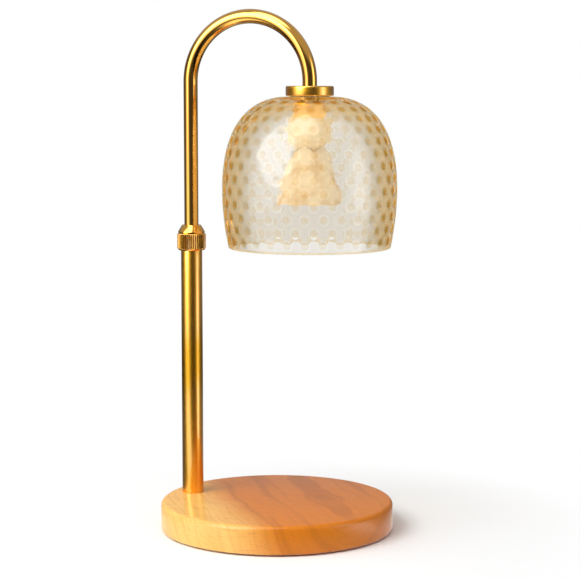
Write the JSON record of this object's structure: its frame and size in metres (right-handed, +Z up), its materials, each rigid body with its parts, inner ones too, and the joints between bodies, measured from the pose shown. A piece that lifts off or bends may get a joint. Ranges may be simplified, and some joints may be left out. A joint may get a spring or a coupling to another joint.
{
  "type": "candle warmer lamp",
  "caption": "Lamp with a weighted round wooden base, telescopic brass post with a lock collar, arched swivel arm and dimpled glass shade over a reflector bulb.",
  "frame": {"origin": "centre of the foot pad's underside, on the surface the lamp stands on", "axes": "+Z up along the post, +X from the post towards the shade, so the arm lies in the XZ plane"},
  "size_m": [0.1341, 0.13, 0.2896],
  "materials": {
    "lacquered_wood": "clear satin lacquer over pale pine",
    "steel": "zinc plated",
    "foot_foam": "matt foam",
    "black_rubber": "matt",
    "satin_brass": "satin, lacquered",
    "polished_brass": "polished, lacquered",
    "nylon": "natural",
    "silicone": "matt",
    "shade_glass": "clear champagne tint, pressed dimples",
    "white_ceramic": "unglazed white",
    "contact_brass": "plain",
    "bulb_glass": "clear, warm lining"
  },
  "bodies": {
    "stand": {"base_disc": "lacquered_wood", "base_weight": "steel", "foot_pad": "foot_foam", "weight_screw_1": "steel", "weight_screw_2": "steel", "weight_screw_3": "steel", "cord_grommet": "black_rubber", "post_washer": "steel", "post_nut": "steel", "post_nipple": "steel", "lower_post": "satin_brass", "clamp_collet": "nylon"},
    "collar": {"lock_collar": "polished_brass"},
    "slider": {"guide_bush": "nylon"},
    "arm": {"arm_tube": "polished_brass", "lower_clip": "steel", "upper_clip": "steel", "arm_nipple": "steel", "shade_cap": "satin_brass", "upper_gasket": "silicone", "glass_shade": "shade_glass", "lower_gasket": "silicone", "neck_sleeve": "satin_brass", "holder_cup": "satin_brass", "holder_washer": "steel", "holder_bracket": "steel", "holder_nut": "steel", "lampholder": "white_ceramic", "contact_1": "contact_brass", "contact_2": "contact_brass", "bracket_screw_1": "steel", "bracket_screw_2": "steel"},
    "bulb": {"bulb_base": "white_ceramic", "bulb_pin_1": "steel", "bulb_pin_2": "steel", "bulb_reflector": "bulb_glass", "bulb_lens": "bulb_glass", "bulb_capsule": "bulb_glass"}
  },
  "joints": [
    {"name": "collar_turn", "type": "hinge", "parent": "stand", "child": "collar", "pos_m": [-0.052, 0, 0.16], "axis": [0, 0, 1], "range_deg": [0, 270]},
    {"name": "height_slide", "type": "slide", "parent": "stand", "child": "slider", "axis": [0, 0, 1], "range_m": [-0.075, 0.02]},
    {"name": "arm_swivel", "type": "hinge", "parent": "slider", "child": "arm", "pos_m": [-0.052, 0, 0.16], "axis": [0, 0, 1], "range_deg": [-90, 90]},
    {"name": "bulb_twist", "type": "hinge", "parent": "arm", "child": "bulb", "pos_m": [0.0195, 0, 0.2], "axis": [0, 0, 1], "range_deg": [-20, 0]}
  ]
}
